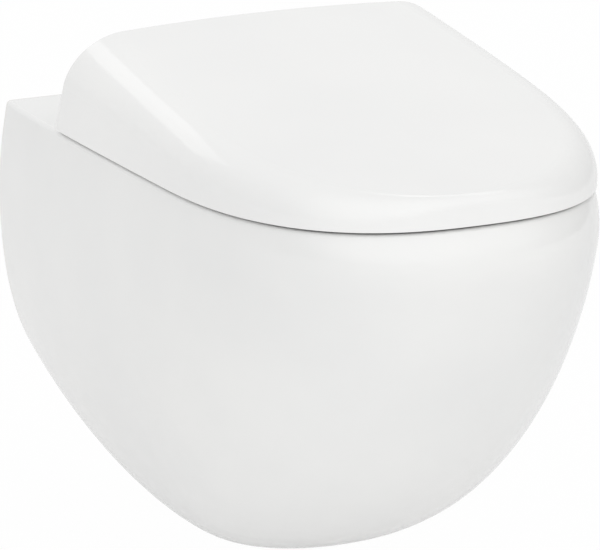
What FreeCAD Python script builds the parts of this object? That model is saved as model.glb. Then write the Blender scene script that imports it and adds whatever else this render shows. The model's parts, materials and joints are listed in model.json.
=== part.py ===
import FreeCAD, Part

import math
import os

from FreeCAD import Placement, Rotation, Vector

# Wall hung toilet with a wrap-over seat lid, in millimetres.
# X runs across the pan, the front faces -Y, Z is up and the wall is the plane y = 0.
# The origin lies on the wall, midway between the two wall fixings.
# "Depth" is always the distance from the wall, so y = -depth.

doc = FreeCAD.newDocument("wall_hung_toilet")
sheet = doc.addObject("Spreadsheet::Sheet", "sizes")


def size(alias, text):
    """Keep one driving dimension in the sheet and give it back as a number."""
    row = len(SIZES) + 1
    sheet.set("A%d" % row, alias)
    sheet.set("B%d" % row, text)
    sheet.setAlias("B%d" % row, alias)
    SIZES[alias] = float(text)
    return SIZES[alias]


SIZES = {}

# ---- pan, outer form -------------------------------------------------------------------------
deck = size("deck_height", "80")                     # top of the pan above the wall fixings
pan_height = size("pan_height", "342.3")             # deck to the lowest point
pan_width = size("pan_width", "360")                 # at the widest level
widest_level = size("widest_level", "86")            # below the deck
width_drawn_in = size("width_drawn_in", "8.5")       # per side, from the widest level up to the deck
pan_length = size("pan_length", "563")               # wall to nose, at the longest level
longest_level = size("longest_level", "30")          # below the deck
nose_drawn_in = size("nose_drawn_in", "10")          # from the longest level up to the deck
plan_centre = size("plan_centre", "332")             # depth where the plan is widest, at the deck
plan_centre_low = size("plan_centre_low", "238.9")   # the same at the lowest point
tail_reach = size("tail_reach", "544")               # plan's virtual reach behind its widest place
belly_power = size("belly_power", "2.194")           # how late the sides turn under
belly_root = size("belly_root", "2.944")
nose_power = size("nose_power", "1.102")             # how late the front turns under
nose_root = size("nose_root", "2.065")
tail_power = size("tail_power", "1.991")
tail_root = size("tail_root", "1.3")
front_roundness = size("front_roundness", "2.54")    # superellipse powers of the plan at the deck
front_roundness_low = size("front_roundness_low", "2.05")
tail_roundness = size("tail_roundness", "3.57")
tail_roundness_low = size("tail_roundness_low", "2.764")
deck_edge_radius = size("deck_edge_radius", "4")

# ---- pan, inside -----------------------------------------------------------------------------
skin = size("ceramic_thickness", "11")
deck_thickness = size("deck_thickness", "14")
bearing_width = size("bearing_width", "20")          # ceramic edge that bears on the wall
bearing_depth = size("bearing_depth", "14")
rim_opening_width = size("rim_opening_width", "244")
rim_opening_front = size("rim_opening_front", "498")
rim_opening_rear = size("rim_opening_rear", "202")
bowl_wall = size("bowl_wall", "10")
bowl_depth = size("bowl_depth", "308")               # deck to the sump's floor
sump_depth = size("sump_centre_depth", "254")
sump_width = size("sump_width", "84")
sump_length = size("sump_length", "84")
flush_slot_top = size("flush_slot_top", "28")        # open flush channel under the rim
flush_slot_bottom = size("flush_slot_bottom", "58")
flush_slot_reach = size("flush_slot_reach", "11")
inlet_level = size("inlet_level", "45")
inlet_bore_radius = size("inlet_bore_radius", "27.5")
inlet_bore_length = size("inlet_bore_length", "45")
inlet_wall = size("inlet_wall", "10")
duct_radius = size("duct_radius", "22")
outlet_level = size("outlet_level", "180")
horn_radius = size("waste_horn_radius", "51")
horn_bore_radius = size("waste_horn_bore_radius", "42")
horn_length = size("waste_horn_length", "50")
horn_setback = size("waste_horn_setback", "3")
trap_radius = size("trap_radius", "28")
trap_wall = size("trap_wall", "10")
water_dip_level = size("water_dip_level", "246")     # underside of the bowl's rear wall at the trap
weir_level = size("weir_level", "196")
trap_rise_depth = size("trap_rise_depth", "205")     # where the trap starts to climb
trap_crest_depth = size("trap_crest_depth", "128")
trap_bend_radius = size("trap_bend_radius", "56")

# ---- wall fixings ----------------------------------------------------------------------------
fixing_spacing = size("fixing_spacing", "180")
fixing_thread_radius = size("fixing_thread_radius", "6")
sleeve_radius = size("sleeve_radius", "13")
sleeve_length = size("sleeve_length", "122")
lug_depth = size("lug_depth", "82")                  # wall to the lug's rear face
lug_thickness = size("lug_thickness", "14")
lug_drop = size("lug_drop", "112")                   # deck to the lug's lower end
lug_inner_half = size("lug_inner_half", "58")
liner_wall = size("liner_wall", "2.5")
liner_flange = size("liner_flange", "3")
draw_screw_radius = size("draw_screw_radius", "4")
draw_screw_length = size("draw_screw_length", "44")
draw_screw_depth = size("draw_screw_depth", "110")
draw_screw_key = size("draw_screw_key_flats", "4")

# ---- seat hinge ------------------------------------------------------------------------------
hinge_spacing = size("hinge_spacing", "155")
hinge_depth = size("hinge_depth", "106")
hinge_height = size("hinge_height", "24")            # axis above the deck
hinge_hole_radius = size("hinge_hole_radius", "7.5")
gasket_thickness = size("gasket_thickness", "1")
base_radius = size("base_radius", "21")
base_thickness = size("base_thickness", "3")
spigot_radius = size("spigot_radius", "6")
spigot_height = size("spigot_height", "12")
stud_radius = size("stud_radius", "4")
stud_length = size("stud_length", "50")
stud_grip = size("stud_grip", "3.5")                 # stud's end inside the spigot
plug_length = size("plug_length", "24")
plug_bulge_radius = size("plug_bulge_radius", "9.5")
nut_height = size("nut_height", "9")
post_foot_radius = size("post_foot_radius", "17")
post_foot_height = size("post_foot_height", "7.8")
post_width = size("post_width", "27.5")
barrel_radius = size("barrel_radius", "11.5")
pin_radius = size("pin_radius", "5")
running_gap = size("running_gap", "0.05")            # pin in bush and damper
lug_gap = size("lug_gap", "0.4")                     # between neighbouring barrels
seat_lug_width = size("seat_lug_width", "13.8")
lid_lug_width = size("lid_lug_width", "17")
bush_radius = size("bush_radius", "8.5")
button_radius = size("button_radius", "4.5")
button_travel = size("button_travel", "3")
latch_thickness = size("latch_thickness", "2.6")
latch_width = size("latch_width", "19")
spring_coil_radius = size("spring_coil_radius", "1.6")
spring_wire_radius = size("spring_wire_radius", "0.35")
spring_turns = size("spring_turns", "5")

# ---- seat and lid ----------------------------------------------------------------------------
clearance = size("clearance", "0.3")                 # between pieces that rest on each other
lid_gap = size("lid_gap", "2.3")                     # lid's edge above the deck
lid_overhang = size("lid_overhang", "2.2")           # lid's edge outside the pan's plan at the deck
lid_wall = size("lid_wall", "4.5")
lid_rear = size("lid_rear_depth", "119.5")           # wall to the lid's rear edge at the deck
lid_rake = size("lid_rake_degrees", "24.5")          # rear edge leans forwards as it rises
lid_front_height = size("lid_front_height", "27")
lid_rear_height = size("lid_rear_height", "101.5")   # top's height above the deck at the rear edge
lid_crown = size("lid_crown", "8.5")                 # drop of the top from the middle to its sides
lid_shoulder_front = size("lid_shoulder_front", "10")
lid_shoulder_corner = size("lid_shoulder_corner", "27")
lid_shoulder_widest = size("lid_shoulder_widest", "31.5")
lid_shoulder_rear = size("lid_shoulder_rear", "60")
notch_half = size("hinge_notch_half", "126")
notch_height = size("hinge_notch_height", "38")
seat_inset = size("seat_inset", "2.8")               # seat's edge inside the lid's inner face
seat_height = size("seat_underside", "5")
seat_thickness = size("seat_thickness", "12")
seat_rear = size("seat_rear_depth", "141")
seat_opening_width = size("seat_opening_width", "214")
seat_opening_front = size("seat_opening_front", "497")
seat_opening_rear = size("seat_opening_rear", "222")
seat_edge_radius = size("seat_edge_radius", "4.5")
buffer_radius = size("buffer_radius", "8")

SIDES = (("left", -1), ("right", 1))
parts = []


def finished(thing, label):
    """Name a finished sub-part and keep it for export."""
    thing.Label = label
    parts.append(thing)
    return thing


# ---- building blocks -------------------------------------------------------------------------
TURN_TO = {
    "x": Rotation(Vector(0, 1, 0), 90),
    "y": Rotation(Vector(1, 0, 0), -90),
    "z": Rotation(),
}


def place(thing, x, y, z):
    """Bind a sub-part's place to the sheet."""
    thing.setExpression("Placement.Base.x", x)
    thing.setExpression("Placement.Base.y", y)
    thing.setExpression("Placement.Base.z", z)
    return thing


def cylinder(name, radius, length, x="0", y="0", z="0", along="z"):
    thing = doc.addObject("Part::Cylinder", name)
    thing.setExpression("Radius", radius)
    thing.setExpression("Height", length)
    thing.Placement = Placement(Vector(), TURN_TO[along])
    return place(thing, x, y, z)


def cone(name, low_radius, high_radius, length, x="0", y="0", z="0", along="z"):
    thing = doc.addObject("Part::Cone", name)
    thing.setExpression("Radius1", low_radius)
    thing.setExpression("Radius2", high_radius)
    thing.setExpression("Height", length)
    thing.Placement = Placement(Vector(), TURN_TO[along])
    return place(thing, x, y, z)


def form(name, shape):
    """A curved body made from the sheet's values by a formula."""
    thing = doc.addObject("Part::Feature", name)
    thing.Shape = shape
    thing.Placement = shape.Placement
    return thing


def fuse(name, *things):
    joined = doc.addObject("Part::MultiFuse", name)
    joined.Shapes = list(things)
    joined.Refine = True
    return joined


def cut(name, base, *tools):
    tool = tools[0] if len(tools) == 1 else fuse(name + "_tools", *tools)
    result = doc.addObject("Part::Cut", name)
    result.Base = base
    result.Tool = tool
    return result


def common(name, base, tool):
    result = doc.addObject("Part::Common", name)
    result.Base = base
    result.Tool = tool
    return result


# ---- plan outlines ---------------------------------------------------------------------------
OUTLINE_POINTS = 28


def plan_point(plan, angle, outset=0.0):
    """Point of a superellipse egg, as (x, depth); plan is (half, centre, front, rear, powers)."""
    half, centre, front, rear, front_power, rear_power = plan
    across, along = math.cos(angle), math.sin(angle)
    power = front_power if along >= 0 else rear_power
    reach = front if along >= 0 else rear
    x = (half + outset) * math.copysign(abs(across) ** (2 / power), across)
    depth = centre + (reach + outset) * math.copysign(abs(along) ** (2 / power), along)
    return x, depth


def closed_wire(points):
    curve = Part.BSplineCurve()
    curve.interpolate(points, PeriodicFlag=True)
    return Part.Wire([curve.toShape()])


def outline(plan, level, outset=0.0):
    """Closed level outline at a height above the deck."""
    points = []
    for step in range(OUTLINE_POINTS):
        x, depth = plan_point(plan, 2 * math.pi * step / OUTLINE_POINTS, outset)
        points.append(Vector(x, -depth, deck + level))
    return closed_wire(points)


def turn_under(level, start, power, root):
    """Share of the full size left at a level, falling from 1 at start to 0 at the lowest point."""
    share = max(0.0, (start - level) / (pan_height + start))
    return max(0.0, 1 - share ** power) ** (1 / root)


def pan_plan(level):
    """The pan's outer plan at a level (0 at the deck, negative below)."""
    low = min(1.0, -level / pan_height)
    sides_up = max(0.0, (level + widest_level) / widest_level)
    nose_up = max(0.0, (level + longest_level) / longest_level)
    centre = plan_centre + (plan_centre_low - plan_centre) * low
    half = pan_width / 2 * turn_under(level, -widest_level, belly_power, belly_root)
    half -= width_drawn_in * sides_up ** 2
    front = (pan_length - centre) * turn_under(level, -longest_level, nose_power, nose_root)
    front -= nose_drawn_in * nose_up ** 2
    rear = tail_reach * turn_under(level, -longest_level, tail_power, tail_root)
    front_power = front_roundness + (front_roundness_low - front_roundness) * low
    rear_power = tail_roundness + (tail_roundness_low - tail_roundness) * low
    return half, centre, front, rear, front_power, rear_power


PAN_LEVELS = (0, 0.045, 0.10, 0.17, 0.25, 0.34, 0.44, 0.55, 0.66, 0.76, 0.85, 0.92, 0.965, 0.988, 0.997)


def pan_form(inset, top, bottom_inset):
    """Egg-shaped body of the pan, drawn in by inset; it runs on behind the wall."""
    wires = []
    for share in PAN_LEVELS:
        level = -pan_height * share
        half, centre, front, rear, front_power, rear_power = pan_plan(level)
        drawn = (half - inset, centre, front - inset, rear - inset, front_power, rear_power)
        if min(drawn[0], drawn[2], drawn[3]) < 3:
            break
        height = top + (level * (pan_height - bottom_inset + top) / pan_height)
        wires.append(outline(drawn, height))
    pole = Vector(0, -plan_centre_low, deck - pan_height + bottom_inset)
    return Part.makeLoft(wires + [Part.Vertex(pole)], True, False)


# ---- ceramic pan -----------------------------------------------------------------------------
FAR = 700.0     # reach of the cutting blocks, beyond everything


def block(low_x, low_depth, low_level, high_x, high_depth, high_level):
    """Cutting block between two corners given as x, depth and level."""
    corner = Vector(low_x, -high_depth, deck + low_level)
    return Part.makeBox(high_x - low_x, high_depth - low_depth, high_level - low_level, corner)


BOWL_EASE = 1.5             # how late the bowl draws in below the rim
BOWL_ROUNDNESS = 2.3        # superellipse power of the rim; the sump's is SUMP_ROUNDNESS
SUMP_ROUNDNESS = 2.0
SUMP_FLOOR_SHARE = 0.45     # flat part of the sump's floor
BOWL_SHARES = (0, 0.12, 0.28, 0.46, 0.64, 0.80, 0.92)


def bowl_plan(share):
    """Inner plan of the bowl; share is 0 at the rim and 1 at the sump's floor."""
    ease = share ** BOWL_EASE
    rim_centre = (rim_opening_front + rim_opening_rear) / 2
    rim_reach = (rim_opening_front - rim_opening_rear) / 2
    half = rim_opening_width / 2 + (sump_width - rim_opening_width) / 2 * ease
    reach = rim_reach + (sump_length / 2 - rim_reach) * ease
    centre = rim_centre + (sump_depth - rim_centre) * ease
    roundness = BOWL_ROUNDNESS + (SUMP_ROUNDNESS - BOWL_ROUNDNESS) * share
    return half, centre, reach, reach, roundness, roundness


def bowl_form(outset, above):
    """Bowl from the rim down to its rounded sump."""
    wires = [outline(bowl_plan(0), above, outset)]
    for share in BOWL_SHARES:
        wires.append(outline(bowl_plan(share), -bowl_depth * share - 0.01, outset))
    half, centre, front, rear, power, _ = bowl_plan(1)
    flat = SUMP_FLOOR_SHARE
    floor = (half * flat, centre, front * flat, rear * flat, power, power)
    wires.append(outline(floor, -bowl_depth - outset, 0))
    return Part.makeLoft(wires, True, False)


def trap_route():
    """Centre line of the trapway: out of the sump, up to the crest and back to the wall."""
    dip = deck - water_dip_level - trap_radius
    crest = deck - weir_level + trap_radius
    start = Vector(0, -(sump_depth + 4), dip)
    climb = Vector(0, -trap_rise_depth, dip)
    top = Vector(0, -trap_crest_depth, crest)
    end = Vector(0, -(horn_length - 12), deck - outlet_level)
    edges = []
    last = start
    for corner, after in ((climb, top), (top, end)):
        inward = (corner - last).normalize()
        outward = (after - corner).normalize()
        turn = inward.getAngle(outward)
        tangent = trap_bend_radius * math.tan(turn / 2)
        arc_start = corner - inward * tangent
        arc_end = corner + outward * tangent
        bisector = (outward - inward).normalize()
        arc_middle = corner + bisector * (trap_bend_radius / math.cos(turn / 2) - trap_bend_radius)
        edges.append(Part.LineSegment(last, arc_start).toShape())
        edges.append(Part.Arc(arc_start, arc_middle, arc_end).toShape())
        last = arc_end
    edges.append(Part.LineSegment(last, end).toShape())
    return Part.Wire(edges)


def trap_form(radius):
    route = trap_route()
    start = route.Edges[0].firstVertex().Point
    circle = Part.Wire([Part.makeCircle(radius, start, Vector(0, 1, 0))])
    return route.makePipeShell([circle], True, False)


def level_tube(radius, start_depth, end_depth, level):
    """Cylinder that runs straight out from the wall."""
    return Part.makeCylinder(
        radius, end_depth - start_depth, Vector(0, -start_depth, deck - level), Vector(0, -1, 0))


def rim_prism(outset, low, high):
    """Upright block on the rim opening's plan, between two levels below the deck."""
    plan = outline(bowl_plan(0), -low, outset)
    return Part.Face(plan).extrude(Vector(0, 0, low - high))


def make_lug(sign):
    """Ceramic lug inside the pan that hangs on one wall sleeve."""
    low_x = min(sign * lug_inner_half, sign * pan_width / 2)
    high_x = max(sign * lug_inner_half, sign * pan_width / 2)
    return block(low_x, lug_depth, -lug_drop, high_x, lug_depth + lug_thickness, -deck_thickness / 2)


def make_outside():
    """The pan's outer body, cut at the wall, with its deck edge rounded."""
    body = pan_form(0, 0, 0).cut(block(-FAR, -FAR, -FAR, FAR, 0, FAR)).Solids[0]
    rounded = []
    for edge in body.Edges:
        if edge.BoundBox.ZMin > deck - 0.01 and edge.BoundBox.YLength > 50:
            rounded.append(edge)
    return body.makeFillet(deck_edge_radius, rounded)


def make_void():
    """The hollow between skirt and bowl, around the pipes and lugs."""
    void = pan_form(skin, -deck_thickness, skin)
    void = void.common(block(-FAR, bearing_depth, -FAR, FAR, FAR, FAR)).Solids[0]
    void = void.cut(bowl_form(bowl_wall, -deck_thickness / 2))
    void = void.cut(trap_form(trap_radius + trap_wall))
    void = void.cut(rim_prism(flush_slot_reach + bowl_wall, flush_slot_bottom + bowl_wall, 0))
    void = void.cut(level_tube(horn_radius, horn_setback, horn_length, outlet_level))
    void = void.cut(level_tube(
        inlet_bore_radius + inlet_wall, 0, inlet_bore_length + inlet_wall, inlet_level))
    void = void.cut(level_tube(duct_radius + inlet_wall, 0, rim_opening_rear, inlet_level))
    for _, sign in SIDES:
        void = void.cut(make_lug(sign))
    return void


def make_mouth():
    """The hollow's open end at the wall, inside the bearing edge."""
    mouth = pan_form(bearing_width, -deck_thickness, bearing_width)
    mouth = mouth.common(block(-FAR, -5, -FAR, FAR, bearing_depth + 5, FAR)).Solids[0]
    mouth = mouth.cut(level_tube(horn_radius, horn_setback, horn_length, outlet_level))
    return mouth.cut(level_tube(
        inlet_bore_radius + inlet_wall, 0, inlet_bore_length + inlet_wall, inlet_level))


def make_pan():
    body = make_outside().cut(make_void()).cut(make_mouth())
    body = body.cut(bowl_form(0, 5)).cut(trap_form(trap_radius))
    body = body.cut(rim_prism(flush_slot_reach, flush_slot_bottom, flush_slot_top))
    body = body.cut(level_tube(inlet_bore_radius, -1, inlet_bore_length, inlet_level))
    body = body.cut(level_tube(duct_radius, 0, rim_opening_rear - 4, inlet_level))
    body = body.cut(level_tube(horn_bore_radius, -1, horn_length - trap_wall, outlet_level))
    for _, sign in SIDES:
        body = body.cut(Part.makeCylinder(
            hinge_hole_radius, deck_thickness + 20,
            Vector(sign * hinge_spacing / 2, -hinge_depth, deck - deck_thickness - 10)))
        body = body.cut(Part.makeCylinder(
            sleeve_radius + liner_wall + clearance, lug_thickness + 10,
            Vector(sign * fixing_spacing / 2, -lug_depth + 5, 0), Vector(0, -1, 0)))
    return body.Solids[0]


finished(form("ceramic_pan", make_pan()), "ceramic_pan")

# ---- wall fixings ----------------------------------------------------------------------------
# A sleeve screws on the wall's threaded rod and carries the pan's lug; a screw that leans towards
# the hinge hole draws the lug back against the wall.
LEAN = math.degrees(math.atan2((fixing_spacing - hinge_spacing) / 2, deck))

for side, sign in SIDES:
    x = "%d * sizes.fixing_spacing / 2" % sign
    sleeve = cut(
        "sleeve_tube_" + side,
        cylinder("sleeve_bar_" + side, "sizes.sleeve_radius", "sizes.sleeve_length",
                 x, "-sizes.sleeve_length", "0", "y"),
        cylinder("sleeve_thread_" + side, "sizes.fixing_thread_radius",
                 "sizes.draw_screw_depth - 10 + 1",
                 x, "-sizes.draw_screw_depth + 10", "0", "y"))
    screw_seat = doc.addObject("Part::Cylinder", "draw_screw_seat_" + side)
    screw_seat.setExpression("Radius", "sizes.draw_screw_radius")
    screw_seat.Height = 3 * sleeve_radius
    screw_seat.Placement = Placement(
        Vector(sign * fixing_spacing / 2, -draw_screw_depth, 0), Rotation(Vector(0, 1, 0), -sign * LEAN))
    screw_seat.Placement.Base = screw_seat.Placement.multVec(Vector(0, 0, -1.5 * sleeve_radius))
    finished(cut("wall_sleeve_" + side, sleeve, screw_seat), "wall_sleeve_" + side)

    shank = doc.addObject("Part::Cylinder", "draw_screw_shank_" + side)
    shank.setExpression("Radius", "sizes.draw_screw_radius")
    shank.setExpression("Height", "sizes.draw_screw_length")
    key = doc.addObject("Part::Prism", "draw_screw_key_" + side)
    key.Polygon = 6
    key.setExpression("Circumradius", "sizes.draw_screw_key_flats / 2 / cos(30)")
    key.setExpression("Height", "sizes.draw_screw_key_flats + 1")
    key.setExpression("Placement.Base.z", "sizes.draw_screw_length - sizes.draw_screw_key_flats")
    screw = cut("draw_screw_" + side, shank, key)
    screw.Placement = Placement(
        Vector(sign * fixing_spacing / 2, -draw_screw_depth, 0), Rotation(Vector(0, 1, 0), -sign * LEAN))
    screw.Placement.Base = screw.Placement.multVec(Vector(0, 0, -1.3 * sleeve_radius))
    finished(screw, "draw_screw_" + side)

    liner = cut(
        "lug_liner_" + side,
        fuse("lug_liner_body_" + side,
             cylinder("lug_liner_tube_" + side, "sizes.sleeve_radius + sizes.liner_wall",
                      "sizes.lug_thickness + sizes.liner_flange",
                      x, "-sizes.lug_depth - sizes.lug_thickness - sizes.liner_flange", "0", "y"),
             cylinder("lug_liner_flange_" + side, "sizes.sleeve_radius + sizes.liner_wall + 4",
                      "sizes.liner_flange",
                      x, "-sizes.lug_depth - sizes.lug_thickness - sizes.liner_flange", "0", "y")),
        cylinder("lug_liner_bore_" + side, "sizes.sleeve_radius + sizes.running_gap",
                 "sizes.lug_thickness + 2 * sizes.liner_flange + 2",
                 x, "-sizes.lug_depth - sizes.lug_thickness - sizes.liner_flange - 1", "0", "y"))
    finished(liner, "lug_liner_" + side)

# ---- seat hinge fixings ----------------------------------------------------------------------
# From below: nut and rubber plug in the deck's hole, stud, gasket, base disc, and the spigot that
# screws on the stud and carries the hinge post.
for side, sign in SIDES:
    x = "%d * sizes.hinge_spacing / 2" % sign
    y = "-sizes.hinge_depth"
    top = "sizes.deck_height"
    base_top = top + " + sizes.gasket_thickness + sizes.base_thickness"

    gasket = cut(
        "base_gasket_" + side,
        cylinder("gasket_disc_" + side, "sizes.base_radius", "sizes.gasket_thickness", x, y, top),
        cylinder("gasket_hole_" + side, "sizes.stud_radius + 1", "sizes.gasket_thickness + 2",
                 x, y, top + " - 1"))
    finished(gasket, "base_gasket_" + side)

    base = cut(
        "hinge_base_" + side,
        cone("hinge_base_disc_" + side, "sizes.base_radius", "sizes.base_radius - 1",
             "sizes.base_thickness", x, y, top + " + sizes.gasket_thickness"),
        cylinder("hinge_base_hole_" + side, "sizes.stud_radius + sizes.running_gap",
                 "sizes.base_thickness + 2", x, y, top + " + sizes.gasket_thickness - 1"))
    finished(base, "hinge_base_" + side)

    spigot = cut(
        "hinge_spigot_" + side,
        fuse("hinge_spigot_body_" + side,
             cylinder("spigot_" + side, "sizes.spigot_radius", "sizes.spigot_height - 2", x, y, base_top),
             cone("spigot_nose_" + side, "sizes.spigot_radius", "sizes.spigot_radius - 1.5", "2",
                  x, y, base_top + " + sizes.spigot_height - 2")),
        cylinder("spigot_thread_" + side, "sizes.stud_radius + sizes.running_gap",
                 "sizes.stud_grip + 1.5", x, y, base_top + " - 1"))
    finished(spigot, "hinge_spigot_" + side)

    stud_top = base_top + " + sizes.stud_grip"
    stud = cylinder("hinge_stud_" + side, "sizes.stud_radius", "sizes.stud_length",
                    x, y, stud_top + " - sizes.stud_length")
    finished(stud, "hinge_stud_" + side)

    plug = cut(
        "expansion_plug_" + side,
        fuse("plug_body_" + side,
             cylinder("plug_shank_" + side, "sizes.hinge_hole_radius - sizes.running_gap",
                      "sizes.deck_thickness + 1", x, y, top + " - sizes.deck_thickness - 1"),
             cone("plug_bulge_" + side, "sizes.hinge_hole_radius", "sizes.plug_bulge_radius",
                  "sizes.plug_length - sizes.deck_thickness - sizes.clearance - 1",
                  x, y, top + " - sizes.plug_length"),
             cone("plug_shoulder_" + side, "sizes.plug_bulge_radius", "sizes.hinge_hole_radius - 0.1",
                  "1", x, y, top + " - sizes.deck_thickness - sizes.clearance - 1")),
        cylinder("plug_bore_" + side, "sizes.stud_radius + sizes.running_gap",
                 "sizes.plug_length + 2", x, y, top + " - sizes.plug_length - 1"))
    finished(plug, "expansion_plug_" + side)

    nut_blank = doc.addObject("Part::Prism", "nut_blank_" + side)
    nut_blank.Polygon = 6
    nut_blank.setExpression("Circumradius", "sizes.hinge_hole_radius - 0.5")
    nut_blank.setExpression("Height", "sizes.nut_height")
    place(nut_blank, x, y, top + " - sizes.plug_length - sizes.clearance - sizes.nut_height")
    nut = cut(
        "expansion_nut_" + side, nut_blank,
        cylinder("nut_thread_" + side, "sizes.stud_radius + sizes.running_gap",
                 "sizes.nut_height + 4", x, y,
                 top + " - sizes.plug_length - sizes.nut_height - 2"))
    finished(nut, "expansion_nut_" + side)

# ---- hinge posts, pins and release buttons ---------------------------------------------------
# Levels above the base disc: foot, latch slot, barrel.
base_level = deck + gasket_thickness + base_thickness
axis_level = deck + hinge_height
LATCH_RISE = 3.6        # latch plate's underside above the base disc
LATCH_BAR = 2.6         # plate in front of its window
LATCH_TAIL = 2.0        # plate behind its window
BUTTON_PROUD = 1.5      # button's end outside the foot when it is pressed in
POCKET_WALL = 1.5       # post's wall behind the spring
latch_low = base_level + LATCH_RISE
latch_rear = spigot_radius + button_travel + clearance        # window's rear end
latch_front = spigot_radius + clearance                       # window's front end
latch_end = latch_front + LATCH_BAR                           # plate's front end
latch_middle = latch_low + latch_thickness / 2
knob_start = latch_rear + LATCH_TAIL / 2
pocket_end = post_foot_radius - POCKET_WALL                   # bottom of the spring's pocket

for side, sign in SIDES:
    x = sign * hinge_spacing / 2
    centre = Vector(x, -hinge_depth, 0)
    foot_low = base_level + clearance
    foot = Part.makeCylinder(post_foot_radius, post_foot_height, centre + Vector(0, 0, foot_low))
    foot = foot.makeFillet(2.0, [foot.Edges[0]])
    neck = Part.makeCylinder(barrel_radius, axis_level - foot_low, centre + Vector(0, 0, foot_low))
    barrel = Part.makeCylinder(
        barrel_radius, post_width, Vector(x - post_width / 2, -hinge_depth, axis_level), Vector(1, 0, 0))
    barrel = barrel.makeChamfer(0.8, [edge for edge in barrel.Edges if edge.BoundBox.XLength < 0.01])
    socket = Part.makeCylinder(
        spigot_radius + clearance, spigot_height + clearance + 1, centre + Vector(0, 0, foot_low - 1))
    pin_hole = Part.makeCylinder(
        pin_radius + running_gap, post_width + 2,
        Vector(x - post_width / 2 - 1, -hinge_depth, axis_level), Vector(1, 0, 0))
    # slot for the latch plate, open to the wall side for the button
    slot_front = latch_end + button_travel + clearance
    slot_rear = latch_rear + LATCH_TAIL + clearance
    slot = Part.makeBox(
        latch_width + 2 * clearance, slot_front + slot_rear, latch_thickness + 2 * clearance,
        Vector(x - latch_width / 2 - clearance, -hinge_depth - slot_front, latch_low - clearance))
    mouth = Part.makeCylinder(
        button_radius + clearance, post_foot_radius,
        Vector(x, -hinge_depth + knob_start - button_travel - clearance, latch_middle), Vector(0, 1, 0))
    pocket = Part.makeCylinder(
        spring_coil_radius + spring_wire_radius + clearance, pocket_end - latch_front,
        Vector(x, -hinge_depth - latch_front, latch_middle), Vector(0, -1, 0))
    post = foot.multiFuse([neck, barrel]).cut([socket, pin_hole, slot, mouth, pocket])
    finished(form("hinge_post_" + side, post.removeSplitter()), "hinge_post_" + side)

    # latch plate with a window round the spigot, and the button on its rear end
    plate = Part.makeBox(
        latch_width, latch_end + latch_rear + LATCH_TAIL, latch_thickness,
        Vector(x - latch_width / 2, -hinge_depth - latch_end, latch_low))
    window = Part.makeBox(
        2 * latch_front, latch_front + latch_rear, latch_thickness + 2,
        Vector(x - latch_front, -hinge_depth - latch_front, latch_low - 1))
    knob = Part.makeCylinder(
        button_radius, post_foot_radius + button_travel + BUTTON_PROUD - knob_start,
        Vector(x, -hinge_depth + knob_start, latch_middle), Vector(0, 1, 0))
    tip = [edge for edge in knob.Edges if edge.BoundBox.YLength < 0.01]
    tip = max(tip, key=lambda edge: edge.BoundBox.YMax)
    knob = knob.makeFillet(1.0, [tip])
    button = plate.cut(window).fuse(knob)
    finished(form("release_button_" + side, button.removeSplitter()), "release_button_" + side)

    # return spring between the plate's front end and the post's wall
    spring_start = -hinge_depth - latch_end - running_gap
    spring_length = pocket_end - latch_end - 2 * running_gap
    helix = Part.makeHelix(
        spring_length / spring_turns, spring_length - 2 * spring_wire_radius, spring_coil_radius)
    wire = Part.Wire([Part.makeCircle(
        spring_wire_radius, Vector(spring_coil_radius, 0, 0), Vector(0, 1, 0))])
    coil = Part.Wire(helix.Edges).makePipeShell([wire], True, True)
    coil.Placement = Placement(
        Vector(x, spring_start - spring_wire_radius, latch_middle),
        Rotation(Vector(1, 0, 0), 90))
    finished(form("button_spring_" + side, coil), "button_spring_" + side)

    pin_inner = "(sizes.hinge_spacing / 2 - sizes.post_width / 2 + 2)"
    pin_outer = ("(sizes.hinge_spacing / 2 + sizes.post_width / 2 + 2 * sizes.lug_gap"
                 " + sizes.seat_lug_width + sizes.lid_lug_width)")
    pin_start = pin_inner if sign > 0 else "-" + pin_outer
    pin = cylinder("hinge_pin_" + side, "sizes.pin_radius", pin_outer + " - " + pin_inner,
                   pin_start, "-sizes.hinge_depth", "sizes.deck_height + sizes.hinge_height", "x")
    finished(pin, "hinge_pin_" + side)


# ---- lid outer form --------------------------------------------------------------------------
# An upright block on the lid's plan, cut by a crowned top that slopes to the nose, with a shoulder
# whose radius shrinks towards the nose. Both its faces, outer and inner, are made this way.
RAKE = math.tan(math.radians(lid_rake))
BEHIND = 60.0               # depth where the block starts, behind the raked rear edge
SHOULDER_TURN = math.radians(50)    # plan angle of the front corners
CROWN_REACH = 200.0


def lid_plan():
    half, centre, front, rear, front_power, rear_power = pan_plan(0)
    return (half + lid_overhang, centre, front + lid_overhang, rear, front_power, rear_power)


def inset_plan(plan, inset):
    half, centre, front, rear, front_power, rear_power = plan
    return (half - inset, centre, front - inset, rear - inset, front_power, rear_power)


def lid_top(depth):
    """Height of the lid's top above the deck along the middle."""
    nose = lid_plan()[1] + lid_plan()[2]
    return lid_front_height + (lid_rear_height - lid_front_height) * (nose - depth) / (nose - lid_rear)


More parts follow.
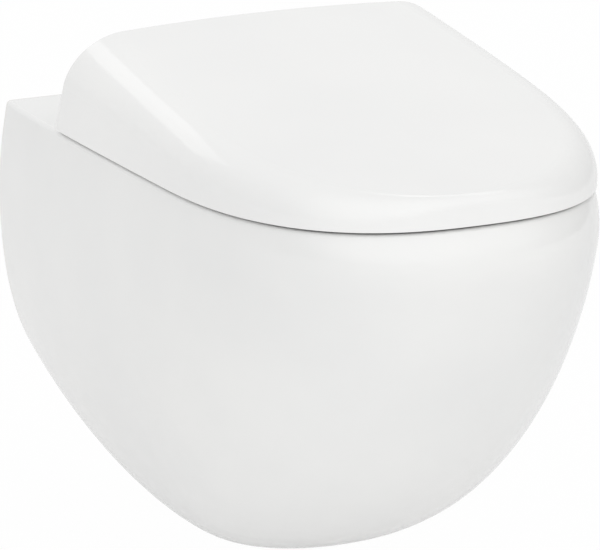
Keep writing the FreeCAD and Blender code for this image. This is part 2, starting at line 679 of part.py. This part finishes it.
def lid_side_wire(plan, level):
    """Plan of the lid from its left rear round the nose to its right rear, closed straight."""
    rear_turn = -math.asin(((plan[1] - BEHIND) / plan[3]) ** (plan[5] / 2))
    nose_turn = math.pi / 2
    stretches = (
        (rear_turn, 0.0, 9),
        (0.0, SHOULDER_TURN, 13),
        (SHOULDER_TURN, nose_turn, 10),
        (nose_turn, math.pi - SHOULDER_TURN, 10),
        (math.pi - SHOULDER_TURN, math.pi, 13),
        (math.pi, math.pi - rear_turn, 9),
    )
    points = []
    joints = []
    for start, stop, count in stretches:
        joints.append(len(points))
        for step in range(count):
            x, depth = plan_point(plan, start + (stop - start) * step / count)
            points.append(Vector(x, -depth, deck + level))
    x, depth = plan_point(plan, math.pi - rear_turn)
    points.append(Vector(x, -depth, deck + level))
    curve = Part.BSplineCurve()
    curve.interpolate(points)
    bounds = [curve.FirstParameter]
    for joint in joints[1:]:
        bounds.append(curve.parameter(points[joint]))
    bounds.append(curve.LastParameter)
    edges = []
    for start, stop in zip(bounds, bounds[1:]):
        edges.append(curve.toShape(start, stop))
    edges.append(Part.LineSegment(points[-1], points[0]).toShape())
    return Part.Wire(edges)


def under_lid_top(drop):
    """Everything below the crowned top, lowered by drop."""
    wires = []
    for depth in (0.0, pan_length + 80):
        top = lid_top(depth) - drop
        sag = lid_crown * lid_top(depth) / lid_rear_height
        arch = []
        for step in range(9):
            x = CROWN_REACH * (step - 4) / 4
            arch.append(Vector(x, -depth, deck + top - sag * (x / lid_plan()[0]) ** 2))
        curve = Part.BSplineCurve()
        curve.interpolate(arch)
        low_right = Vector(CROWN_REACH, -depth, deck - 60)
        low_left = Vector(-CROWN_REACH, -depth, deck - 60)
        sides = Part.makePolygon([arch[-1], low_right, low_left, arch[0]])
        wires.append(Part.Wire([curve.toShape()] + sides.Edges))
    return Part.makeLoft(wires, True, True)


def shoulder_radius(point, inset):
    if -point.y < BEHIND + 1:
        return lid_shoulder_rear - inset
    if abs(point.y + plan_centre) < 1:
        return lid_shoulder_widest - inset
    if abs(point.x) < 5:
        return lid_shoulder_front - inset
    return lid_shoulder_corner - inset


def lid_form(name, inset, floor):
    """Filleted block under the lid's outer face, or its inner face when inset is the wall."""
    block_height = lid_rear_height + 60 - floor
    side = Part.Face(lid_side_wire(inset_plan(lid_plan(), inset), floor))
    upright = side.extrude(Vector(0, 0, block_height)).common(under_lid_top(inset))
    blank = form(name + "_blank", upright.Solids[0])
    shoulders = []
    for number, edge in enumerate(blank.Shape.Edges, 1):
        bound = edge.BoundBox
        if bound.ZMin > deck + lid_gap + 5 and bound.YLength > 5:
            start = edge.valueAt(edge.FirstParameter)
            end = edge.valueAt(edge.LastParameter)
            shoulders.append((number, shoulder_radius(start, inset), shoulder_radius(end, inset)))
    rounded = doc.addObject("Part::Fillet", name)
    rounded.Base = blank
    rounded.Edges = shoulders
    doc.recompute()
    return rounded


def raked_block(depth, low, high):
    """Everything in front of a plane that leaves the deck at depth and leans forwards."""
    section = ((depth + RAKE * low, low), (FAR, low), (FAR, high), (depth + RAKE * high, high))
    corners = []
    for lean_depth, level in section:
        corners.append(Vector(-FAR / 2, -lean_depth, deck + level))
    face = Part.Face(Part.makePolygon(corners + [corners[0]]))
    return face.extrude(Vector(FAR, 0, 0))


def hinge_arm(inner, width, profile):
    """Flat arm of a seat or lid lug: profile is a list of (depth, level)."""
    corners = []
    for depth, level in profile:
        corners.append(Vector(inner, -depth, deck + level))
    face = Part.Face(Part.makePolygon(corners + [corners[0]]))
    return face.extrude(Vector(width, 0, 0))


seat_lug_start = hinge_spacing / 2 + post_width / 2 + lug_gap
lid_lug_start = seat_lug_start + seat_lug_width + lug_gap
turned = barrel_radius / math.sqrt(2)


def lug_barrel(start, width, radius):
    return Part.makeCylinder(radius, width, Vector(start, -hinge_depth, axis_level), Vector(1, 0, 0))


def on_side(shape, sign):
    """Mirror a right-hand shape to the left."""
    return shape if sign > 0 else shape.mirror(Vector(), Vector(1, 0, 0))


# ---- lid -------------------------------------------------------------------------------------
wall_along = lid_wall / math.cos(math.radians(lid_rake))
lid_outside = common(
    "lid_outside", lid_form("lid_outer_face", 0, lid_gap),
    form("lid_rear_plane", raked_block(lid_rear, -20, 200)))
lid_inside = common(
    "lid_inside", lid_form("lid_inner_face", lid_wall, lid_gap - 6),
    form("lid_rear_wall_plane", raked_block(lid_rear + wall_along, -30, 200)))
hinge_notch = form(
    "hinge_notch", block(-notch_half, 0, -10, notch_half, lid_rear + 60, notch_height))

LID_ARM_RISE = 32           # how far up the lid's rear wall its arms hold on
wall_low = lid_rear + RAKE * notch_height
wall_high = lid_rear + RAKE * (notch_height + LID_ARM_RISE)
lid_arm_profile = (
    (hinge_depth - turned, hinge_height + turned),
    (wall_high + 1.5, notch_height + LID_ARM_RISE),
    (wall_low + wall_along + 3, notch_height + 3),
    (hinge_depth + turned, hinge_height - turned),
)


def hinge_lugs(start, width, profile):
    """Arms and barrels of one body, right and left."""
    shapes = []
    for _, sign in SIDES:
        shapes.append(on_side(hinge_arm(start, width, profile), sign))
        shapes.append(on_side(lug_barrel(start, width, barrel_radius), sign))
    return shapes


def hinge_bores(start, width):
    shapes = []
    for _, sign in SIDES:
        shapes.append(on_side(lug_barrel(start - 1, width + 2, bush_radius), sign))
    return shapes


doc.recompute()
lid_hood = lid_outside.Shape.cut(lid_inside.Shape).cut(hinge_notch.Shape)
lid_hood = lid_hood.multiFuse(hinge_lugs(lid_lug_start, lid_lug_width, lid_arm_profile))
lid_hood = lid_hood.cut(hinge_bores(lid_lug_start, lid_lug_width))
finished(form("lid_shell", lid_hood.Solids[0]), "lid_shell")


# ---- seat ring -------------------------------------------------------------------------------
SEAT_OPENING_ROUNDNESS = (2.25, 2.35)       # superellipse powers of its front and its rear


def seat_opening(level, height):
    """Upright block on the seat opening's plan."""
    centre = (seat_opening_front + seat_opening_rear) / 2
    reach = (seat_opening_front - seat_opening_rear) / 2
    plan = (seat_opening_width / 2, centre, reach, reach) + SEAT_OPENING_ROUNDNESS
    return Part.Face(outline(plan, level)).extrude(Vector(0, 0, height))


def make_seat():
    plan = inset_plan(lid_plan(), lid_wall + seat_inset)
    ring = Part.Face(outline(plan, seat_height)).extrude(Vector(0, 0, seat_thickness))
    ring = ring.common(block(-FAR, seat_rear, -FAR, FAR, FAR, FAR))
    ring = ring.cut(seat_opening(seat_height - 1, seat_thickness + 2))
    top_level = deck + seat_height + seat_thickness
    top_edges = [edge for edge in ring.Edges if edge.BoundBox.ZMin > top_level - 0.01]
    ring = ring.makeFillet(seat_edge_radius, top_edges)
    profile = (
        (hinge_depth - 2, hinge_height + barrel_radius - 0.5),
        (seat_rear + 14, seat_height + seat_thickness - 0.5),
        (seat_rear + 14, seat_height + 1),
        (seat_rear - 1, seat_height + 1),
        (hinge_depth + turned, hinge_height - turned),
    )
    ring = ring.multiFuse(hinge_lugs(seat_lug_start, seat_lug_width, profile))
    return ring.cut(hinge_bores(seat_lug_start, seat_lug_width)).Solids[0]


finished(form("seat_ring", make_seat()), "seat_ring")

# ---- dampers and bushes ----------------------------------------------------------------------
# Each lug has a sleeve on its pin: a soft-close damper on one side, a plain bush on the other.
seat_start = "(sizes.hinge_spacing / 2 + sizes.post_width / 2 + sizes.lug_gap)"
lid_start = seat_start[:-1] + " + sizes.seat_lug_width + sizes.lug_gap)"


def lug_sleeve(name, sign, start, width):
    start_x = start if sign > 0 else "-" + start + " - " + width
    axis = "sizes.deck_height + sizes.hinge_height"
    sleeve = cut(
        name,
        cylinder(name + "_body", "sizes.bush_radius", width, start_x, "-sizes.hinge_depth", axis, "x"),
        cylinder(name + "_bore", "sizes.pin_radius + sizes.running_gap", width + " + 2",
                 start_x + " - 1", "-sizes.hinge_depth", axis, "x"))
    return finished(sleeve, name)


lug_sleeve("seat_damper", -1, seat_start, "sizes.seat_lug_width")
lug_sleeve("seat_bush", 1, seat_start, "sizes.seat_lug_width")
lug_sleeve("lid_damper", 1, lid_start, "sizes.lid_lug_width")
lug_sleeve("lid_bush", -1, lid_start, "sizes.lid_lug_width")

# ---- rubber buffers --------------------------------------------------------------------------
rim_half = (rim_opening_width / 2 + pan_plan(0)[0]) / 2
rim_front = (rim_opening_front + pan_plan(0)[1] + pan_plan(0)[2]) / 2


def buffer_pad(x, depth, low, high):
    pad = Part.makeCylinder(buffer_radius, high - low, Vector(x, -depth, deck + low))
    return pad.makeFillet(1.2, [min(pad.Edges, key=lambda edge: edge.BoundBox.ZMax)])


seat_pads = []
for x_share, depth in ((0.56, rim_front - 20), (0.97, plan_centre - 72)):
    for _, sign in SIDES:
        seat_pads.append(buffer_pad(sign * x_share * rim_half, depth, clearance, seat_height))
finished(form("seat_buffers", Part.Compound(seat_pads)), "seat_buffers")

lid_pads = []
for _, sign in SIDES:
    depth = rim_front - 18
    foot_level = deck + seat_height + seat_thickness + clearance
    blank = Part.makeCylinder(buffer_radius - 1, 60, Vector(sign * 0.5 * rim_half, -depth, foot_level))
    lid_pads.append(blank.common(lid_inside.Shape))
finished(form("lid_buffers", Part.Compound(lid_pads)), "lid_buffers")

# ---- check and export ------------------------------------------------------------------------
doc.recompute()
for thing in doc.Objects:
    if "Invalid" in thing.State or "Error" in thing.State:
        raise RuntimeError("%s did not build: %s" % (thing.Name, thing.State))
for part in parts:
    if part.Shape.isNull() or not part.Shape.isValid():
        raise RuntimeError("%s has no valid shape" % part.Label)

os.makedirs("parts", exist_ok=True)
for part in parts:
    part.Shape.exportStep(os.path.join("parts", part.Label + ".step"))
    print("%-24s %2d solid(s) %12.1f mm3" % (part.Label, len(part.Shape.Solids), part.Shape.Volume))
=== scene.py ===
import json
import math

import bpy
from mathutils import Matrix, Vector


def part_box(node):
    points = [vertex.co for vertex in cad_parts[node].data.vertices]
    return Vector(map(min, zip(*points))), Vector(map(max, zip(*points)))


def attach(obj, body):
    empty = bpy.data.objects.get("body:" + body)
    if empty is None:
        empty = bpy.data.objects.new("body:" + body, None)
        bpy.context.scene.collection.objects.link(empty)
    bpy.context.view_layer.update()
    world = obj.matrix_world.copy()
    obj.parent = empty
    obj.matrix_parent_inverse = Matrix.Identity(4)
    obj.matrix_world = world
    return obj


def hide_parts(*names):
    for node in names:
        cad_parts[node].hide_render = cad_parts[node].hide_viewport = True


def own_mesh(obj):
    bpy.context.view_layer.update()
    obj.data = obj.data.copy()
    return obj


# Wall hung toilet in white glazed ceramic, lit softly on a pale floor. Metres, in the CAD frame:
# X across, the front faces -Y, Z up, the wall is y = 0 and the wall fixings lie at z = 0.

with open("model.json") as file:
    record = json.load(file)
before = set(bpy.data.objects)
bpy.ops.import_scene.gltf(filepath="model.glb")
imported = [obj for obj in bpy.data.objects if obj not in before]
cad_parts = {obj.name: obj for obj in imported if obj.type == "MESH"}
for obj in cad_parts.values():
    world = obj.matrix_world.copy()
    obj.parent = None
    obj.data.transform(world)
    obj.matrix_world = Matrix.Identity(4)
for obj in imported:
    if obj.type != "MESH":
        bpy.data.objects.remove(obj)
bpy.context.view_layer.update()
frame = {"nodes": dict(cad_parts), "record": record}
bpy.context.scene.view_settings.view_transform = "Standard"

WHITE = (1.0, 1.0, 1.0, 1.0)


def place(name, data):
    """New object in the scene."""
    piece = bpy.data.objects.new(name, data)
    bpy.context.scene.collection.objects.link(piece)
    return piece


# ---- node trees ------------------------------------------------------------------------------
def feed(tree, socket, value):
    """Give a socket a plain value, or join it to another node's output."""
    if isinstance(value, bpy.types.NodeSocket):
        tree.links.new(value, socket)
    else:
        socket.default_value = value


def add(tree, kind, **values):
    """New node; each value goes to its setting, or to its socket of that name."""
    node = tree.nodes.new(kind)
    for key, value in values.items():
        if hasattr(node, key):
            setattr(node, key, value)
        else:
            feed(tree, node.inputs[key.replace("_", " ")], value)
    return node


def maths(tree, operation, *values):
    node = add(tree, "ShaderNodeMath", operation=operation)
    for socket, value in zip(node.inputs, values):
        feed(tree, socket, value)
    return node.outputs["Value"]


def spread(tree, value, from_min, from_max, to_min, to_max):
    """A number carried from one range to another, and held at its ends."""
    node = add(tree, "ShaderNodeMapRange", Value=value, From_Min=from_min, From_Max=from_max,
               To_Min=to_min, To_Max=to_max)
    return node.outputs["Result"]


def mix(tree, kind, share, first, second):
    """Mix of two colours ("RGBA") or of two numbers ("FLOAT")."""
    node = add(tree, "ShaderNodeMix", data_type=kind)
    ending = {"RGBA": "_Color", "FLOAT": "_Float"}[kind]
    sockets = {socket.identifier: socket for socket in (*node.inputs, *node.outputs)}
    feed(tree, sockets["Factor_Float"], share)
    feed(tree, sockets["A" + ending], first)
    feed(tree, sockets["B" + ending], second)
    return sockets["Result" + ending]


def mix_shaders(tree, share, first, second):
    node = add(tree, "ShaderNodeMixShader", Fac=share)
    feed(tree, node.inputs[1], first)
    feed(tree, node.inputs[2], second)
    return node.outputs["Shader"]


# ---- materials -------------------------------------------------------------------------------
NOISE_LOW, NOISE_HIGH = 0.3, 0.7        # part of the noise's range that tone and roughness use
TONE_DETAIL, ROUGHNESS_DETAIL, RELIEF_DETAIL = 3.0, 4.0, 2.0


def object_space(tree):
    return add(tree, "ShaderNodeTexCoord").outputs["Object"]


def noise(tree, scale, detail, stretch=None):
    """Noise in the object's own space, drawn out along an axis where its stretch is under 1."""
    space = object_space(tree)
    if stretch:
        space = add(tree, "ShaderNodeMapping", Vector=space, Scale=stretch).outputs["Vector"]
    return add(tree, "ShaderNodeTexNoise", Vector=space, Scale=scale, Detail=detail).outputs["Fac"]


def tones(tree, share, low, high, ends=(NOISE_LOW, NOISE_HIGH)):
    """Colour that runs from one tone to another."""
    ramp = add(tree, "ShaderNodeValToRGB", Fac=share)
    for stop, position, tone in zip(ramp.color_ramp.elements, ends, (low, high)):
        stop.position = position
        stop.color = (*tone, 1.0)
    return ramp.outputs["Color"]


def look(name, tone, tone_scale, roughness, roughness_scale, relief_scale, depth, strength,
         stretch=None, **uniform):
    """Principled material whose colour, roughness and fine relief vary over the surface.

    tone and roughness are the two ends of their ranges, and depth is the relief's, in metres.
    What is the same all over stays on the shader's own sockets.
    """
    mat = bpy.data.materials.new(name)
    mat.use_nodes = True
    tree = mat.node_tree
    shader = tree.nodes["Principled BSDF"]
    for key, value in uniform.items():
        shader.inputs[key.replace("_", " ")].default_value = value
    feed(tree, shader.inputs["Base Color"],
         tones(tree, noise(tree, tone_scale, TONE_DETAIL, stretch), *tone))
    feed(tree, shader.inputs["Roughness"],
         spread(tree, noise(tree, roughness_scale, ROUGHNESS_DETAIL, stretch),
                NOISE_LOW, NOISE_HIGH, *roughness))
    bump = add(tree, "ShaderNodeBump", Height=noise(tree, relief_scale, RELIEF_DETAIL, stretch),
               Strength=strength, Distance=depth)
    feed(tree, shader.inputs["Normal"], bump.outputs["Normal"])
    return mat


GROUND_EDGE = (-0.0012, -0.0004)        # the glaze ends here, and the china is bare to the wall
GROUND_TONES = ((0.62, 0.60, 0.56), (0.74, 0.72, 0.68))
GROUND_GRAIN = 900.0
GROUND_ROUGHNESS = 0.85


def ceramic():
    """White glaze over china: glossy, faintly uneven, and bare where the rear edge is ground."""
    mat = look("glazed_ceramic",
               tone=((0.785, 0.787, 0.782), (0.825, 0.825, 0.815)), tone_scale=6.0,
               roughness=(0.055, 0.10), roughness_scale=25.0,
               relief_scale=90.0, depth=0.0004, strength=0.03,
               IOR=1.52, Coat_Weight=0.15, Coat_Roughness=0.02)
    tree = mat.node_tree
    color, roughness = (tree.nodes["Principled BSDF"].inputs[name]
                        for name in ("Base Color", "Roughness"))
    depth = add(tree, "ShaderNodeSeparateXYZ", Vector=object_space(tree)).outputs["Y"]
    bare = spread(tree, depth, *GROUND_EDGE, 0.0, 1.0)
    chalk = tones(tree, noise(tree, GROUND_GRAIN, TONE_DETAIL), *GROUND_TONES, ends=(0.0, 1.0))
    feed(tree, color, mix(tree, "RGBA", bare, color.links[0].from_socket, chalk))
    feed(tree, roughness,
         mix(tree, "FLOAT", bare, roughness.links[0].from_socket, GROUND_ROUGHNESS))
    return mat


def duroplast():
    """Polished white seat and lid."""
    return look("duroplast",
                tone=((0.815, 0.816, 0.811), (0.850, 0.850, 0.841)), tone_scale=4.0,
                roughness=(0.06, 0.11), roughness_scale=18.0,
                relief_scale=60.0, depth=0.0003, strength=0.02, IOR=1.50)


def acetal(name, *tone):
    """Moulded plastic with a dull, finely grained skin."""
    return look(name, tone, tone_scale=120.0, roughness=(0.36, 0.52), roughness_scale=300.0,
                relief_scale=900.0, depth=0.0002, strength=0.12, IOR=1.48)


def rubber(name, *tone):
    return look(name, tone, tone_scale=260.0, roughness=(0.65, 0.85), roughness_scale=400.0,
                relief_scale=1400.0, depth=0.0003, strength=0.25, IOR=1.5)


def metal(name, tone, roughness, scale, strength, stretch=None):
    """Metal whose marks are finer than its tones, and drawn out along the way it was worked."""
    return look(name, tone, tone_scale=scale, roughness=roughness, roughness_scale=scale,
                relief_scale=4 * scale, depth=0.0002, strength=strength, stretch=stretch,
                Metallic=1.0)


looks = {                   # by the record's material slots
    "glazed_ceramic": ceramic(),
    "seat_plastic": duroplast(),
    "damper_plastic": acetal("acetal_grey", (0.36, 0.37, 0.39), (0.44, 0.45, 0.47)),
    "bush_plastic": acetal("acetal_natural", (0.66, 0.65, 0.61), (0.74, 0.73, 0.69)),
    "soft_rubber": rubber("rubber_white", (0.62, 0.62, 0.61), (0.70, 0.70, 0.69)),
    "black_rubber": rubber("rubber_black", (0.012, 0.012, 0.013), (0.03, 0.03, 0.032)),
    "polished_chrome": metal(
        "chrome", tone=((0.76, 0.77, 0.79), (0.83, 0.84, 0.86)), roughness=(0.04, 0.09),
        scale=200.0, strength=0.01),
    "plated_steel": metal(
        "zinc_plate", tone=((0.48, 0.48, 0.46), (0.62, 0.62, 0.59)), roughness=(0.28, 0.42),
        scale=320.0, strength=0.08, stretch=(1.0, 0.12, 1.0)),
    "stainless_steel": metal(
        "stainless", tone=((0.52, 0.52, 0.53), (0.62, 0.62, 0.62)), roughness=(0.18, 0.30),
        scale=500.0, strength=0.05, stretch=(0.1, 1.0, 1.0)),
    "brass": metal(
        "turned_brass", tone=((0.55, 0.40, 0.16), (0.70, 0.54, 0.25)), roughness=(0.22, 0.34),
        scale=420.0, strength=0.06, stretch=(1.0, 1.0, 0.1)),
}

for part in frame["record"]["subparts"]:
    mesh = frame["nodes"][part["node"]].data
    mesh.materials.clear()
    mesh.materials.append(looks[part["material_slot"]])

# ---- button springs --------------------------------------------------------------------------
# Each stands for a plain coil of the CAD model.
WIRE_RADIUS = 0.00035
SPRING_TURNS = 4            # of which the first and the last are closed
RINGS_PER_TURN = 36
WIRE_SIDES = 12


def coil_spring(name, low, high):
    """Round-wire compression spring along Y that fills a box."""
    axis_x, axis_z = (low[0] + high[0]) / 2, (low[2] + high[2]) / 2
    coil_radius = (high[0] - low[0]) / 2 - WIRE_RADIUS
    start, stop = low[1] + WIRE_RADIUS, high[1] - WIRE_RADIUS
    closed_pitch = 2 * WIRE_RADIUS
    open_pitch = (stop - start - 2 * closed_pitch) / (SPRING_TURNS - 2)
    points, faces = [], []
    for ring in range(SPRING_TURNS * RINGS_PER_TURN + 1):
        turn = ring / RINGS_PER_TURN
        closed = min(turn, 1.0) + max(turn - SPRING_TURNS + 1, 0.0)
        y = start + closed_pitch * closed + open_pitch * (turn - closed)
        angle = 2 * math.pi * turn
        for corner in range(WIRE_SIDES):
            around = 2 * math.pi * corner / WIRE_SIDES
            radius = coil_radius + WIRE_RADIUS * math.cos(around)
            points.append((axis_x + radius * math.cos(angle), y + WIRE_RADIUS * math.sin(around),
                           axis_z + radius * math.sin(angle)))
            if ring:
                here = ring * WIRE_SIDES + corner
                after = ring * WIRE_SIDES + (corner + 1) % WIRE_SIDES
                faces.append((here - WIRE_SIDES, after - WIRE_SIDES, after, here))
    faces.append(tuple(reversed(range(WIRE_SIDES))))
    faces.append(tuple(range(len(points) - WIRE_SIDES, len(points))))
    coil = bpy.data.meshes.new(name)
    coil.from_pydata(points, [], faces)
    coil.shade_smooth()
    coil.materials.append(looks["stainless_steel"])
    return place(name, coil)


for side in ("left", "right"):
    low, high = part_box("button_spring_" + side)
    spring = coil_spring("coil_spring_" + side, low, high)
    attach(spring, "hinge_carrier")
    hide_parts("button_spring_" + side)
    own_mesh(spring)

# ---- camera ----------------------------------------------------------------------------------
AZIMUTH, ELEVATION = math.radians(-26.27), math.radians(15.72)
DISTANCE = 5.3402
TARGET = Vector((0.0, -0.260, -0.080))
AIM_LEFT, AIM_UP = 0.01153, 0.04816     # the view's middle lies this far beside the target
SENSOR_WIDTH, LENS = 36.0, 384.5        # mm
CLIP_END = 60.0

back = Vector((math.sin(AZIMUTH) * math.cos(ELEVATION),
               -math.cos(AZIMUTH) * math.cos(ELEVATION), math.sin(ELEVATION)))
right = Vector((math.cos(AZIMUTH), math.sin(AZIMUTH), 0.0))
up = back.cross(right)
camera_data = bpy.data.cameras.new("camera")
camera_data.sensor_width = SENSOR_WIDTH
camera_data.lens = LENS
camera_data.clip_end = CLIP_END
camera = place("camera", camera_data)
camera.location = TARGET + back * DISTANCE
aim = TARGET - right * AIM_LEFT + up * AIM_UP
camera.rotation_mode = "QUATERNION"
camera.rotation_quaternion = (aim - camera.location).to_track_quat("-Z", "Y")
bpy.context.scene.camera = camera

# ---- floor -----------------------------------------------------------------------------------
FLOOR_LEVEL = -0.320
FLOOR_REACH = 7.0
FLOOR_COLOR = (0.86, 0.86, 0.86, 1.0)
WHITE_TO_CAMERA = 0.97      # share of plain white in the floor that the camera sees
WHITE_TO_GLOSS = 0.20       # the same in reflections
FLOOR_GLOW = 0.15           # the floor's own faint light on the object's underside

floor_mesh = bpy.data.meshes.new("floor")
floor_mesh.from_pydata([(x * FLOOR_REACH, y * FLOOR_REACH, FLOOR_LEVEL)
                        for x, y in ((-1, -1), (1, -1), (1, 1), (-1, 1))], [], [(0, 1, 2, 3)])
floor = place("floor", floor_mesh)

floor_mat = bpy.data.materials.new("floor_white")
floor_mat.use_nodes = True
tree = floor_mat.node_tree
tree.nodes.clear()
path = add(tree, "ShaderNodeLightPath").outputs
matte = add(tree, "ShaderNodeBsdfDiffuse", Color=FLOOR_COLOR).outputs["BSDF"]
plain = add(tree, "ShaderNodeEmission", Color=WHITE, Strength=1.0).outputs["Emission"]
seen = maths(tree, "MULTIPLY", path["Is Camera Ray"], WHITE_TO_CAMERA)
share = maths(tree, "MULTIPLY_ADD", path["Is Glossy Ray"], WHITE_TO_GLOSS, seen)
glow = add(tree, "ShaderNodeEmission",
           Strength=maths(tree, "MULTIPLY", path["Is Diffuse Ray"], FLOOR_GLOW))
upper_face = add(tree, "ShaderNodeAddShader")
feed(tree, upper_face.inputs[0], mix_shaders(tree, share, matte, plain))
feed(tree, upper_face.inputs[1], glow.outputs["Emission"])
# from below the camera looks through the floor, so that the underside shows
from_below = maths(tree, "MULTIPLY", path["Is Camera Ray"],
                   add(tree, "ShaderNodeNewGeometry").outputs["Backfacing"])
clear = add(tree, "ShaderNodeBsdfTransparent").outputs["BSDF"]
add(tree, "ShaderNodeOutputMaterial",
    Surface=mix_shaders(tree, from_below, upper_face.outputs["Shader"], clear))
floor_mesh.materials.append(floor_mat)

# ---- light -----------------------------------------------------------------------------------
# The studio's light is even, with more of it from some directions.
EVEN_LIGHT = 0.305
DIRECTED_LIGHT = (          # towards it, cosine where it starts, strength straight on, growth
    ((-1, 0, 0), 0.0, 0.10, "LINEAR"),
    ((0, 1, 0), 0.0, 0.70, "LINEAR"),
    ((0, 0, 1), 0.0, 0.22, "LINEAR"),
    ((-0.15, -0.8, 0.58), 0.30, 1.02, "SMOOTHSTEP"),
)
MIDDLE = Vector((0.0, -0.28, 0.0))
SOFTBOXES = (               # name, where it stands, width, height and watts
    ("overhead", (1.25, 0.1, 2.7), 2.2, 0.45, 4.0),
    ("rear_left", (-1.15, 2.0, 2.0), 1.7, 1.1, 4.2),
)

world = bpy.data.worlds.new("studio")
bpy.context.scene.world = world
world.use_nodes = True
tree = world.node_tree
tree.nodes.clear()
total = EVEN_LIGHT
for direction, start, strength, growth in DIRECTED_LIGHT:
    cosine = add(tree, "ShaderNodeVectorMath", operation="DOT_PRODUCT")
    feed(tree, cosine.inputs[0], add(tree, "ShaderNodeTexCoord").outputs["Generated"])
    feed(tree, cosine.inputs[1], Vector(direction).normalized())
    extra = add(tree, "ShaderNodeMapRange", interpolation_type=growth,
                Value=cosine.outputs["Value"], From_Min=start, To_Max=strength)
    total = maths(tree, "ADD", total, extra.outputs["Result"])
air = add(tree, "ShaderNodeBackground", Color=WHITE, Strength=total).outputs["Background"]
backdrop = add(tree, "ShaderNodeBackground", Color=WHITE, Strength=1.0).outputs["Background"]
to_camera = add(tree, "ShaderNodeLightPath").outputs["Is Camera Ray"]
add(tree, "ShaderNodeOutputWorld", Surface=mix_shaders(tree, to_camera, air, backdrop))

for name, stand, width, height, watts in SOFTBOXES:
    lamp = bpy.data.lights.new(name, "AREA")
    lamp.shape = "RECTANGLE"
    lamp.size = width
    lamp.size_y = height
    lamp.energy = watts
    softbox = place(name, lamp)
    softbox.location = stand
    softbox.rotation_mode = "QUATERNION"
    softbox.rotation_quaternion = (MIDDLE - Vector(stand)).to_track_quat("-Z", "Y")
